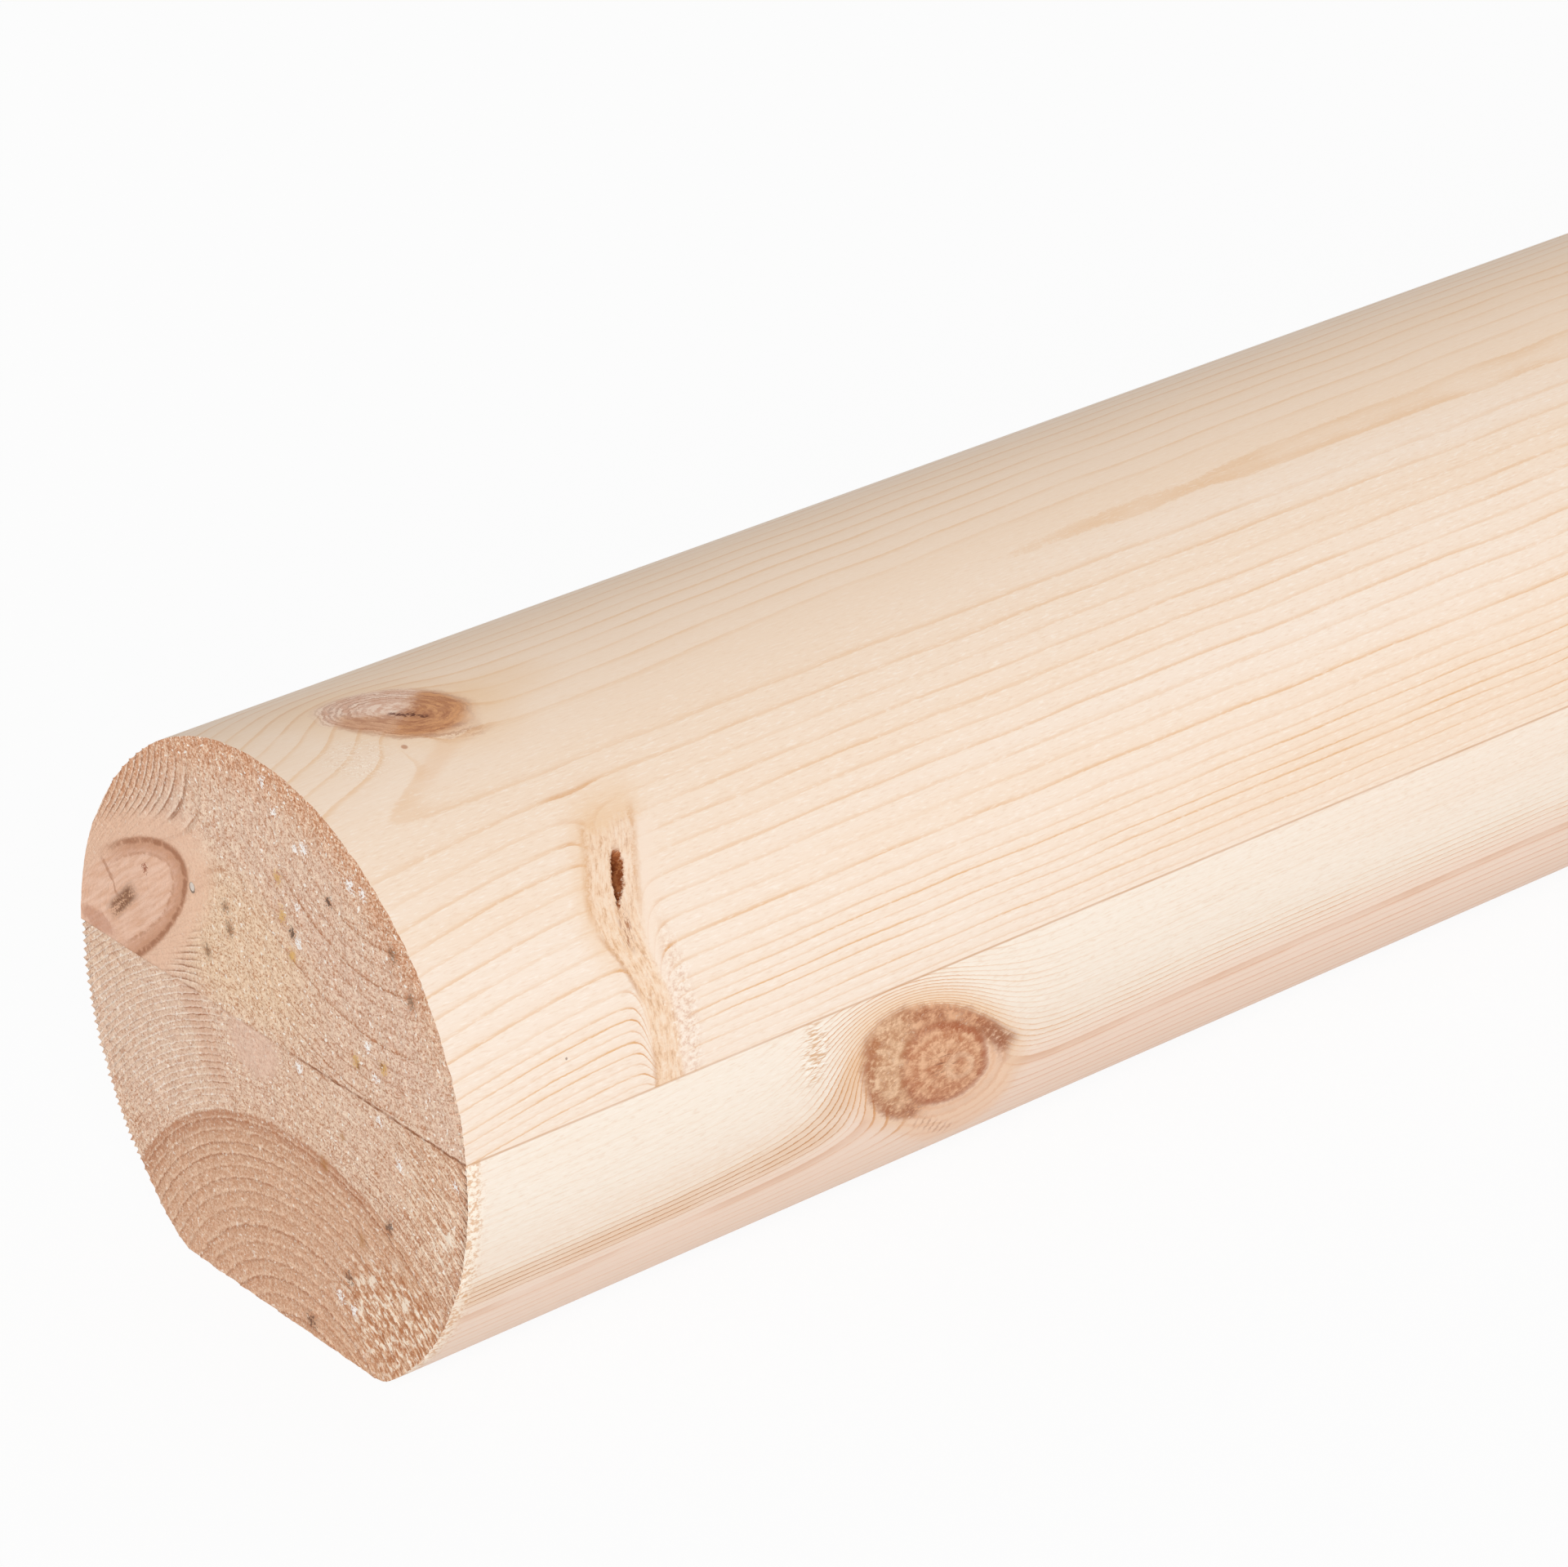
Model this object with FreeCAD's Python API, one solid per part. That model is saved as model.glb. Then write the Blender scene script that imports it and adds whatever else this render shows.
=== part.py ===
import FreeCAD, Part
import os
from math import pi, sqrt

# Stair handrail: one length of moulded softwood, oval to the hand, with a flat along the underside.
# Two sawn boards are glued one on the other, planed to the section and cut square at both ends.
# The rail runs along X and lies on its flat, with the origin at the middle of that flat.

# Driving dimensions, in millimetres
rail_length = 1500.0       # stock length, from one sawn end to the other
grip_width = 60.0          # widest part of the oval, where the hand closes round it
grip_height = 58.0         # from the underside flat to the crown
underside_flat = 31.0      # width of the flat that the brackets are screwed to
glue_line_height = 29.4    # from the underside flat to the joint between the two boards

# The oval is a whole ellipse, and the flat takes off its lowest part. The flat's width sets how far
# below the middle of the oval it lies, as a share of the oval's upright radius.
side_radius = grip_width / 2
flat_share = sqrt(1 - (underside_flat / grip_width) ** 2)
upright_radius = grip_height / (1 + flat_share)
oval_height = upright_radius * flat_share

# Before moulding, the sawn boards stand well clear of the oval at its sides and above its crown.
blank_side = grip_width
blank_top = grip_height + side_radius

near_end = -rail_length / 2
along_rail = FreeCAD.Vector(rail_length, 0, 0)


def section_point(across, height):
    """A point of the section, drawn on the sawn face of the near end."""
    return FreeCAD.Vector(near_end, across, height)


def oval_face():
    """The whole oval, before the flat is planed off, in four quarters that meet at its crown and sides."""
    middle = section_point(0, oval_height)
    keel = section_point(0, oval_height - upright_radius)
    side = section_point(side_radius, oval_height)
    longer, shorter = sorted((keel, side), key=middle.distanceToPoint, reverse=True)
    oval = Part.Ellipse(longer, shorter, middle)
    quarters = [Part.ArcOfEllipse(oval, turn * pi / 2, (turn + 1) * pi / 2) for turn in range(4)]
    return Part.Face(Part.Wire([arc.toShape() for arc in quarters]))


def board_blank(bottom, top):
    """The cross-section of one board before moulding."""
    corners = [
        section_point(-blank_side, bottom),
        section_point(blank_side, bottom),
        section_point(blank_side, top),
        section_point(-blank_side, top),
    ]
    return Part.Face(Part.makePolygon(corners + corners[:1]))


def moulded_board(bottom, top):
    """One board with its share of the oval, planed along the whole rail."""
    section = oval_face().common(board_blank(bottom, top))
    return section.Faces[0].extrude(along_rail)


upper_lamella = moulded_board(glue_line_height, blank_top)
lower_lamella = moulded_board(0, glue_line_height)

os.makedirs("parts", exist_ok=True)
upper_lamella.exportStep("parts/upper_lamella.step")
lower_lamella.exportStep("parts/lower_lamella.step")
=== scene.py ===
from math import asin, pi, radians, sqrt
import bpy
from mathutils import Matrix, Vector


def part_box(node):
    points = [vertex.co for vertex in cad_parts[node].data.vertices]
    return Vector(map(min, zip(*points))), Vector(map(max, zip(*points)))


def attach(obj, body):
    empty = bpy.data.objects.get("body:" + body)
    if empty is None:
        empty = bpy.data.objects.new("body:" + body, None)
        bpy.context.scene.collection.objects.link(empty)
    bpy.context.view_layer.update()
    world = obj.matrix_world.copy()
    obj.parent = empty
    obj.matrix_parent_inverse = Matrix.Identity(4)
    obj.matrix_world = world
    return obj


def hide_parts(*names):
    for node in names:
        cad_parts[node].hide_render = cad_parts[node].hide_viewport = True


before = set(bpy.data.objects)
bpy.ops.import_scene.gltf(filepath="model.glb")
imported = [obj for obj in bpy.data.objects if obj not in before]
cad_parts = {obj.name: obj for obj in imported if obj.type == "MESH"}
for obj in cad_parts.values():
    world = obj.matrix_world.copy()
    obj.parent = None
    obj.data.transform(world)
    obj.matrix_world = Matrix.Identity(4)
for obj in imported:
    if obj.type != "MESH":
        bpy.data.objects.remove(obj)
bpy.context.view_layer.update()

from types import SimpleNamespace

import bmesh
import bpy
import numpy as np
from mathutils import Matrix, Vector


# The lower lamella is the bottom board of the rail: slow-grown pine with its pink heartwood below.
# It is planed to the lower half of the oval and to the flat that the brackets are screwed to, and
# the saw has torn its ends: crisp latewood ridges, pits between them and chips on the exit side.
MM = 0.001
NATURAL = 2.718281828

lower_low, lower_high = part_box("lower_lamella")
upper_low, upper_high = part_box("upper_lamella")
rail_start, rail_end = lower_low.x, lower_high.x
side_radius = lower_high.y
crown_height = upper_high.z
glue_height = upper_low.z
flat_half = max(
    corner.co.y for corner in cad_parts["lower_lamella"].data.vertices if corner.co.z < 0.01 * MM)
flat_share = sqrt(1 - (flat_half / side_radius) ** 2)
upright_radius = crown_height / (1 + flat_share)
oval_height = upright_radius * flat_share
glue_turn = asin((glue_height - oval_height) / upright_radius)
flat_turn = asin(-oval_height / upright_radius)
glue_half = side_radius * np.cos(glue_turn)


class Shade:
    """A value in a material's node tree. Arithmetic on it adds the Math nodes that work it out."""

    def __init__(self, tree, socket=None):
        self.tree = tree
        self.socket = socket

    def node(self, kind, settings, inputs, output):
        """Adds a node, sets it up, fills or links its sockets and returns one of its outputs."""
        made = self.tree.nodes.new("ShaderNode" + kind)
        for setting, value in settings.items():
            setattr(made, setting, value)
        sockets = {socket.identifier: socket for socket in made.inputs}
        for name, value in inputs.items():
            if isinstance(value, Shade):
                self.tree.links.new(value.socket, sockets[name])
            else:
                sockets[name].default_value = value
        outputs = {socket.identifier: socket for socket in made.outputs}
        return Shade(self.tree, outputs[output])

    def math(self, operation, first, second=0.0):
        return self.node("Math", {"operation": operation}, {"Value": first, "Value_001": second}, "Value")

    def vector(self, operation, other=(0.0, 0.0, 0.0), output="Vector"):
        """This value and another one put together as vectors."""
        inputs = {"Vector": self, "Vector_001": other}
        return self.node("VectorMath", {"operation": operation}, inputs, output)

    def mix(self, colour, other):
        """The first colour where this value is 0 and the other one where it is 1."""
        inputs = {"Factor_Float": self, "A_Color": colour, "B_Color": other}
        return self.node("Mix", {"data_type": "RGBA"}, inputs, "Result_Color")

    def __add__(self, other):
        return self.math("ADD", self, other)

    __radd__ = __add__

    def __sub__(self, other):
        return self.math("SUBTRACT", self, other)

    def __rsub__(self, other):
        return self.math("SUBTRACT", other, self)

    def __mul__(self, other):
        return self.math("MULTIPLY", self, other)

    __rmul__ = __mul__

    def __truediv__(self, other):
        return self.math("DIVIDE", self, other)

    def __rtruediv__(self, other):
        return self.math("DIVIDE", other, self)

    def __pow__(self, other):
        return self.math("SQRT", self) if other == 0.5 else self.math("POWER", self, other)

    def __rpow__(self, other):
        return self.math("POWER", other, self)

    def __neg__(self):
        return self.math("MULTIPLY", self, -1.0)

    def __abs__(self):
        return self.math("ABSOLUTE", self)


def sine(value):
    return value.math("SINE", value) if isinstance(value, Shade) else np.sin(value)


def lesser(value, other):
    return value.math("MINIMUM", value, other) if isinstance(value, Shade) else np.minimum(value, other)


def greater(value, other):
    return value.math("MAXIMUM", value, other) if isinstance(value, Shade) else np.maximum(value, other)


def whole(value):
    return value.math("FLOOR", value) if isinstance(value, Shade) else np.floor(value)


def fade(value, start, end):
    """0 up to start and 1 from end on, smoothly, with either of them the larger."""
    if isinstance(value, Shade):
        inputs = {"Value": value, "From Min": start, "From Max": end}
        return value.node("MapRange", {"interpolation_type": "SMOOTHSTEP"}, inputs, "Result")
    share = np.clip((value - start) / (end - start), 0, 1)
    return share * share * (3 - 2 * share)


def band(value, start, full, ebb, end):
    """0 up to start, 1 from full to ebb and 0 again from end on, smoothly."""
    return fade(value, start, full) * fade(value, end, ebb)


def slope(value, softness):
    """Nought below nought and the value itself above it, with a round corner between."""
    return ((value * value + softness * softness) ** 0.5 + value) / 2


def part(place, axis):
    """One of a place's distances: 0 along the rail, 1 out to the near side, 2 up."""
    if isinstance(place, Shade):
        return place.node("SeparateXYZ", {}, {"Vector": place}, "XYZ"[axis])
    return place[:, axis]


def joined(along, near, up):
    if isinstance(along, Shade):
        return along.node("CombineXYZ", {}, {"X": along, "Y": near, "Z": up}, "Vector")
    return np.stack([along, near, up], axis=1)


def round_rail(near, up):
    """How far round the oval a place lies, in mm at its near side, from the level of the oval's middle up."""
    rise, reach = (up - oval_height / MM) / (upright_radius / MM), near / (side_radius / MM)
    turn = up.math("ARCTAN2", rise, reach) if isinstance(up, Shade) else np.arctan2(rise, reach)
    return turn * (side_radius / MM)


def from_line(place, root, way):
    """How far a place lies along a line from its root, and how far to the side of it."""
    if isinstance(place, Shade):
        rooted = place.vector("SUBTRACT", root)
        across = rooted.vector("CROSS_PRODUCT", way)
        return rooted.vector("DOT_PRODUCT", way, "Value"), across.vector("LENGTH", output="Value")
    rooted = place - np.array(root)
    return rooted @ np.array(way), np.linalg.norm(np.cross(rooted, np.array(way)), axis=1)


# Branches grow in whorls. Those past the first come one every spacing, each turned to the other side.
whorl_start, whorl_spacing = 255.0, 430.0


def in_whorl(place):
    """The place as it lies in the first of the far whorls."""
    along = part(place, 0)
    turn = greater(whole((along - whorl_start) / whorl_spacing), 0.0)
    facing = sine((turn + 0.5) * pi)
    return joined(along - turn * whorl_spacing, part(place, 1) * facing, part(place, 2))


class Branch:
    """A branch that grew out of the trunk, from its root past a point further out, in mm. Its radius is core
    and a share, spread, of the way out. The rings bend round it by pull, reach says how soon they settle,
    and crowding how much bolder their lines are beside it."""

    def __init__(self, kind, root, out, spread, core=0.0, pull=0.5, reach=1.3, crowding=1.5):
        self.kind = kind
        self.root = root
        self.way = (Vector(out) - Vector(root)).normalized()
        self.spread = spread
        self.core = core
        self.pull = pull
        self.reach = reach
        self.crowding = crowding


class Board:
    """How the tree of one board grew. Places are mm along the rail, out to the near side and up."""

    def __init__(self, pith, branches, ring_count, bold):
        self.pith = pith
        self.branches = branches
        self.ring_count = ring_count
        self.bold = bold

    def grown(self, place):
        """The radius in mm at which the wood at a place grew, and for each kind of knot how far out from
        the nearest branch the place is, where 1 is the branch's own skin."""
        pith_near, pith_up = self.pith(part(place, 0))
        aside, above = part(place, 1) - pith_near, part(place, 2) - pith_up
        grown = (aside * aside + above * above) ** 0.5
        whorl = in_whorl(place)
        knots = {}
        for branch in self.branches:
            start = whorl if branch.kind == "far" else place
            along, across = from_line(start, branch.root, branch.way)
            knot = across / (branch.core + branch.spread * slope(along, 1.0))
            grown = grown * (1 - branch.pull * NATURAL ** (-branch.reach * knot))
            if branch.kind in knots:
                knot = lesser(knots[branch.kind], knot)
            knots[branch.kind] = knot
        return grown, knots

    def rings(self, grown):
        """Latewood, from 0 to 1 over each ring and gone at its outer edge, the pale ridge just outside it,
        and a weight for each ring."""
        count = self.ring_count(grown)
        ring = whole(count)
        share = count - ring
        late = (0.85 * fade(share, 0.74, 0.94) + 0.15 * fade(share, 0.2, 0.8)) * fade(share, 1.0, 0.955)
        ridge = band(share, 0.0, 0.06, 0.12, 0.3)
        weight = 0.5 + 0.5 * sine(ring * 2.4 + 1.3 * sine(ring * 1.7))
        return late, ridge, weight


def tone(red, green, blue):
    """A colour as it looks on a screen, from 0 to 255, in the shader's own linear values."""
    shares = [value / 255 for value in (red, green, blue)]
    linear = [share / 12.92 if share < 0.04045 else ((share + 0.055) / 1.055) ** 2.4 for share in shares]
    return (*linear, 1.0)


def new_material(name):
    """A material, its shader, and the place its pattern reads: mm along the rail, to the near side and up."""
    material = bpy.data.materials.new(name)
    material.use_nodes = True
    shader = material.node_tree.nodes["Principled BSDF"]
    start = Shade(material.node_tree)
    metres = start.node("TexCoord", {}, {}, "Object")
    turn = {"Vector": metres, "Vector_001": (1 / MM, -1 / MM, 1 / MM), "Vector_002": (-rail_start / MM, 0, 0)}
    return material, shader, start.node("VectorMath", {"operation": "MULTIPLY_ADD"}, turn, "Vector")


def speckle(place, stretch, detail=2.0, roughness=0.5):
    """Noise of 0 to 1 with that many bumps per mm along each axis."""
    stretched = place.vector("MULTIPLY", stretch)
    inputs = {"Vector": stretched, "Scale": 1.0, "Detail": detail, "Roughness": roughness}
    return place.node("TexNoise", {}, inputs, "Fac")


def within(place, middle, reach):
    """1 in the middle of an oval patch and 0 at its edge. A reach of 0 leaves that axis out."""
    scale = [1 / size if size else 0.0 for size in reach]
    shares = place.vector("SUBTRACT", middle).vector("MULTIPLY", scale)
    return 1 - shares.vector("LENGTH", output="Value")


def stroke(place, start, end, width):
    """1 along the line between two points and 0 a width away from it."""
    way = Vector(end) - Vector(start)
    length = way.length
    along, across = from_line(place, start, way.normalized())
    return fade(across, width, 0.3 * width) * band(along, -width, width, length - width, length + width)


def finish_wood(material, shader, colour, height, roughness, shine):
    """Joins a wood's colour, relief in mm and roughness to its shader."""
    relief = {"Height": height, "Distance": MM, "Strength": 1.0}
    normal = colour.node("Bump", {}, relief, "Normal")
    links = material.node_tree.links
    links.new(colour.socket, shader.inputs["Base Color"])
    links.new(normal.socket, shader.inputs["Normal"])
    links.new(roughness.socket, shader.inputs["Roughness"])
    shader.inputs["Specular IOR Level"].default_value = shine


def planed_pine(name, board, early, blush, late, dressed):
    """Pine planed along the grain: ring lines, far knots and fibre ticks.
    The board's own marks are added by dressed."""
    material, shader, place = new_material(name)
    streaks = speckle(place, (0.05, 4.0, 4.0), 2.0)
    ticks = speckle(place, (1.0, 6.0, 6.0), 1.0, 0.6)
    mottle = speckle(place, (1.9, 2.3, 2.3), 4.0, 0.72)
    patches = speckle(place, (0.09, 0.25, 0.25), 2.0)
    drift = speckle(place, (0.008, 0.09, 0.09), 1.0)
    grown, knots = board.grown(place)
    grown = grown + 0.4 * (patches - 0.5) + 0.15 * (streaks - 0.5) + 0.2 * (mottle - 0.5)
    line, ridge, weight = board.rings(grown)
    grain = SimpleNamespace(
        place=place, along=part(place, 0), near=part(place, 1), up=part(place, 2), grown=grown, knots=knots,
        line=line, weight=weight, ticks=ticks, mottle=mottle, patches=patches)
    colour = (fade(drift, 0.35, 0.7) * 0.7).mix(early, blush)
    strength = line * (0.35 + 0.5 * weight) * fade(patches, 0.0, 0.7) * (0.35 + 0.7 * streaks + 0.6 * ticks)
    crowd = 0.0
    for branch in board.branches:
        crowd = crowd + branch.crowding * fade(knots[branch.kind], 1.9, 1.2)
    by_height = 0.75 + 1.1 * fade(grain.up, 52, 57)
    by_height = by_height + 0.45 * fade(grain.up, 45, 38) + 0.7 * fade(grain.up, 22, 14)
    strength = strength * (board.bold(grown) * by_height + crowd)
    colour = strength.mix(colour, (0.6 * crowd).mix(late, tone(214, 150, 94)))
    colour = (fade(streaks, 0.5, 0.8) * 0.25).mix(colour, tone(240, 210, 180))
    colour = (fade(ticks, 0.55, 0.75) * 0.4).mix(colour, tone(255, 246, 236))
    colour = (fade(ticks, 0.45, 0.25) * 0.3).mix(colour, tone(230, 194, 162))
    ragged = knots["far"] * (0.84 + 0.32 * mottle)
    colour = (fade(ragged, 1.8, 0.95) * 0.45).mix(colour, tone(236, 196, 150))
    heart = (0.4 * line + fade(mottle, 0.4, 0.65)).mix(tone(222, 172, 134), tone(178, 120, 82))
    colour = fade(ragged, 1.06, 0.92).mix(colour, heart)
    skin = band(ragged, 0.72, 0.95, 0.98, 1.12) * fade(patches, 0.3, 0.6)
    colour = (skin * 0.8).mix(colour, tone(146, 94, 62))
    colour = dressed(colour, grain)
    seam = fade(abs(grain.up - glue_height / MM), 0.16, 0.05) * (0.3 + 0.9 * patches)
    colour = (seam * 0.8).mix(colour, tone(206, 152, 104))
    relief = 0.016 * streaks + 0.012 * ticks
    finish_wood(material, shader, colour, relief, 0.52 + 0.14 * streaks, 0.3)
    return material


def sawn_pine(name, board, early, late, grounded, marked):
    """Pine cut across the grain: fine torn fibre ends, and streaks along the rings. The board's own ground,
    with how clearly its rings show and how torn it is, comes from grounded, and its marks from marked."""
    material, shader, place = new_material(name)
    fine = speckle(place, (2.5, 4.2, 4.2), 3.0, 0.75)
    coarse = speckle(place, (0.7, 1.2, 1.2), 3.0, 0.6)
    broad = speckle(place, (0.05, 0.08, 0.08), 1.0)
    along, near, up = part(place, 0), part(place, 1), part(place, 2)
    pith_near, pith_up = board.pith(along)
    round_pith = 30 * place.math("ARCTAN2", near - pith_near, up - pith_up)
    grown, knots = board.grown(place)
    by_ring = joined(grown, round_pith, along)
    fibres = speckle(by_ring, (2.8, 0.7, 0.5), 3.0, 0.65)
    fleck_and_glint = speckle(place, (1.2, 2.0, 2.4), 1.0)
    line, ridge, weight = board.rings(grown + 0.3 * (coarse - 0.5) + 0.5 * (fibres - 0.5))
    grain = SimpleNamespace(
        place=place, by_ring=by_ring, along=along, near=near, up=up, grown=grown, knots=knots, line=line,
        ridge=ridge, fine=fine, coarse=coarse, fibres=fibres)
    colour = fade(broad, 0.3, 0.7).mix(early, tone(230, 196, 174))
    colour, clear, torn = grounded(colour, grain)
    colour = (line * (0.35 + 0.65 * weight) * clear).mix(colour, late)
    torn_pale = tone(250, 226, 200)
    colour = (fade(fibres, 0.52, 0.68) * torn * 0.54).mix(colour, torn_pale)
    colour = (fade(fibres, 0.48, 0.32) * torn * 0.6075).mix(colour, tone(192, 132, 94))
    colour = (fade(fine, 0.51, 0.64) * torn * 0.81).mix(colour, torn_pale)
    colour = (fade(fine, 0.49, 0.36) * torn * 0.8775).mix(colour, tone(180, 120, 82))
    # White flecks of torn fibre, partly painted glints of light on the fibre ends.
    colour = (fade(fleck_and_glint, 0.65, 0.73) * torn * 0.8775).mix(colour, tone(255, 246, 234))
    colour = marked(colour, grain)
    open_seam = 0.25 + 0.75 * fade(near, 2, 8)
    seam = fade(abs(up - glue_height / MM + 0.2 * (coarse - 0.5)), 0.2, 0.06) * open_seam
    colour = (seam * fade(coarse, 0.2, 0.6)).mix(colour, tone(150, 98, 68))
    relief = 0.10 * fine + 0.08 * coarse + 0.07 * fibres
    finish_wood(material, shader, colour, relief, 0.75 + 0.15 * fine, 0.2)
    return material


def spots(colour, grain, tint, amount, places):
    """Small ragged marks on the near sawn face: how far out to the near side, how high, and their reach."""
    for near, up, reach in places:
        inside = within(grain.place, (0.0, near, up), (12.0, reach, 1.3 * reach)) + 4.5 * (grain.fine - 0.55)
        colour = (fade(inside, 0.1, 0.5) * amount).mix(colour, tint)
    return colour


def soft_noise(near, up, cell, seed):
    """Smooth bumps of 0 to 1 over the sawn face, about one cell wide."""
    size = 256
    lattice = np.random.default_rng(seed).random((size, size))
    column, row = np.floor(near / cell), np.floor(up / cell)
    across, rise = near / cell - column, up / cell - row
    across, rise = across * across * (3 - 2 * across), rise * rise * (3 - 2 * rise)
    column, row = column.astype(int) % size, row.astype(int) % size
    right, above = (column + 1) % size, (row + 1) % size
    low = lattice[column, row] * (1 - across) + lattice[right, row] * across
    high = lattice[column, above] * (1 - across) + lattice[right, above] * across
    return low * (1 - rise) + high * rise


# Loops round the board, in mm from each sawn end: close together where the saw has chipped the edge
end_loops = (0.3, 0.7, 1.3, 2.2, 4.0)
near_rows, far_rows = 124, 40
bake_strips = 4
rail_length = rail_end - rail_start


def moulded_mesh(name, outline, close_loops):
    """A board as it leaves the moulder: a sawn end, the planed length in loops along the rail and the other
    sawn end. The ends take the second of the board's two materials."""
    columns = len(outline) - 1
    seat = [(glue_half * np.cos(pi * column / columns), glue_height) for column in range(columns + 1)]
    shape = bmesh.new()

    def sawn_end(x, rows):
        before = set(shape.faces)
        for corner in bmesh.ops.create_grid(shape, x_segments=columns, y_segments=rows, size=1.0)["verts"]:
            column = round((corner.co.x + 1) / 2 * columns)
            share = (corner.co.y + 1) / 2
            (seat_y, seat_z), (skin_y, skin_z) = seat[column], outline[column]
            corner.co = x, seat_y + (skin_y - seat_y) * share, seat_z + (skin_z - seat_z) * share
        for face in set(shape.faces) - before:
            face.material_index = 1
        bmesh.ops.remove_doubles(shape, verts=shape.verts, dist=0.0001 * MM)

    sawn_end(rail_start, near_rows)
    stops = [stop * MM for stop in (*end_loops, *close_loops)]
    stops += [rail_length * strip / bake_strips for strip in range(1, bake_strips)]
    stops += [rail_length - stop * MM for stop in end_loops[::-1]]
    rim = [edge for edge in shape.edges if edge.is_boundary]
    reached = 0.0
    for stop in stops + [rail_length]:
        drawn = bmesh.ops.extrude_edge_only(shape, edges=rim)["geom"]
        new_corners = [item for item in drawn if isinstance(item, bmesh.types.BMVert)]
        bmesh.ops.translate(shape, verts=new_corners, vec=(stop - reached, 0, 0))
        rim = [item for item in drawn if isinstance(item, bmesh.types.BMEdge) and item.is_boundary]
        for item in drawn:
            if isinstance(item, bmesh.types.BMFace):
                item.material_index = 0
        reached = stop
    sawn_end(rail_end, far_rows)
    bmesh.ops.recalc_face_normals(shape, faces=shape.faces)
    mesh = bpy.data.meshes.new(name)
    shape.to_mesh(mesh)
    shape.free()
    return mesh


def read(items, field, kind, width=1):
    """One field of all the corners, faces or face corners of a mesh, as an array."""
    values = np.empty(len(items) * width, kind)
    items.foreach_get(field, values)
    return values.reshape(-1, width) if width > 1 else values


def lay_bake_map(mesh, outline):
    """The flat map that the finish is baked on: the planed skin in strips one over the other, then the joint
    in thin strips, and the two sawn ends side by side on top."""
    strip_high, joint_high, gap = 0.18, 0.01, 0.003
    corners = read(mesh.vertices, "co", float, 3)
    used = read(mesh.loops, "vertex_index", int)
    x, y, z = corners[used].T
    sides = read(mesh.polygons, "loop_total", int)
    centres = np.repeat(read(mesh.polygons, "center", float, 3), sides, axis=0)
    sawn = np.repeat(read(mesh.polygons, "material_index", int), sides) == 1
    points = np.array(outline)
    girth = np.concatenate([[0], np.cumsum(np.linalg.norm(np.diff(points, axis=0), axis=1))])
    nearest = np.array([np.argmin(np.hypot(*(points - corner[1:]).T)) for corner in corners])
    strip = np.clip(np.floor((centres[:, 0] - rail_start) / rail_length * bake_strips), 0, bake_strips - 1)
    run = gap + (1 - 2 * gap) * ((x - rail_start) / rail_length * bake_strips - strip)
    skin_high = strip_high * strip + gap + (strip_high - 2 * gap) * girth[nearest[used]] / girth[-1]
    seat_high = bake_strips * strip_high + joint_high * (strip + 0.1 + 0.8 * (y / glue_half + 1) / 2)
    high = np.where(np.abs(centres[:, 2] - glue_height) < 0.01 * MM, seat_high, skin_high)
    far = centres[:, 0] > (rail_start + rail_end) / 2
    end_run = 0.5 * far + gap + (0.5 - 2 * gap) * (y / side_radius + 1) / 2
    end_low = bake_strips * (strip_high + joint_high) + gap
    end_high = end_low + (1 - gap - end_low) * (z - z.min()) / (z.max() - z.min())
    flat = np.stack([np.where(sawn, end_run, run), np.where(sawn, end_high, high)], axis=1)
    mesh.uv_layers.new(name="OFBake").uv.foreach_set("vector", flat.ravel())


def tear_ends(mesh, board, chipped, hollowed):
    """The saw's tear: both ends sink a little, the latewood least, and the near end is chipped ring by ring
    where the saw came out. The skin also sinks where it is hollowed."""
    corners = read(mesh.vertices, "co", float, 3)
    along = (corners[:, 0] - rail_start) / MM
    near = -corners[:, 1] / MM
    up = corners[:, 2] / MM
    grown, knots = board.grown(joined(along, near, up))
    line, ridge, weight = board.rings(grown)
    knot = fade(np.min(list(knots.values()), axis=0), 1.8, 1.0)
    sunk = 0.10 * soft_noise(near, up, 0.5, 1) + 0.10 * soft_noise(near, up, 1.7, 2)
    sunk = (sunk + 0.07 * (1 - line)) * (1 - 0.7 * knot)
    near_half = along < rail_length / MM / 2
    from_end = np.minimum(along, rail_length / MM - along)
    corners[:, 0] += np.where(near_half, 1.0, -1.0) * sunk * MM * (from_end < 0.01)
    skin = np.hypot(near * MM / side_radius, (up * MM - oval_height) / upright_radius)
    chip = chipped(near, up) * (1 - line) * fade(from_end, 1.5, 0.0) * fade(skin, 0.93, 1.0) * near_half
    if hollowed:
        chip = chip + hollowed(along, near, up) * (skin > 0.999)
    pulled = 1 - chip * MM / side_radius
    corners[:, 1] *= pulled
    corners[:, 2] = oval_height + (corners[:, 2] - oval_height) * pulled
    mesh.vertices.foreach_set("co", corners.ravel())


def moulded_board(name, outline, board, materials, chipped, close_loops=(), hollowed=None):
    """One planed board with torn ends. Close loops, in mm along it, follow the place where it is hollowed."""
    mesh = moulded_mesh(name, outline, close_loops)
    lay_bake_map(mesh, outline)
    tear_ends(mesh, board, chipped, hollowed)
    for material in materials:
        mesh.materials.append(material)
    mesh.shade_smooth()
    mesh.set_sharp_from_angle(angle=radians(40))
    piece = bpy.data.objects.new(name, mesh)
    bpy.context.scene.collection.objects.link(piece)
    return piece


def on_oval(turn):
    """A point of the section where it follows the oval, turned up from the level of the oval's middle."""
    return side_radius * np.cos(turn), oval_height + upright_radius * np.sin(turn)


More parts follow.
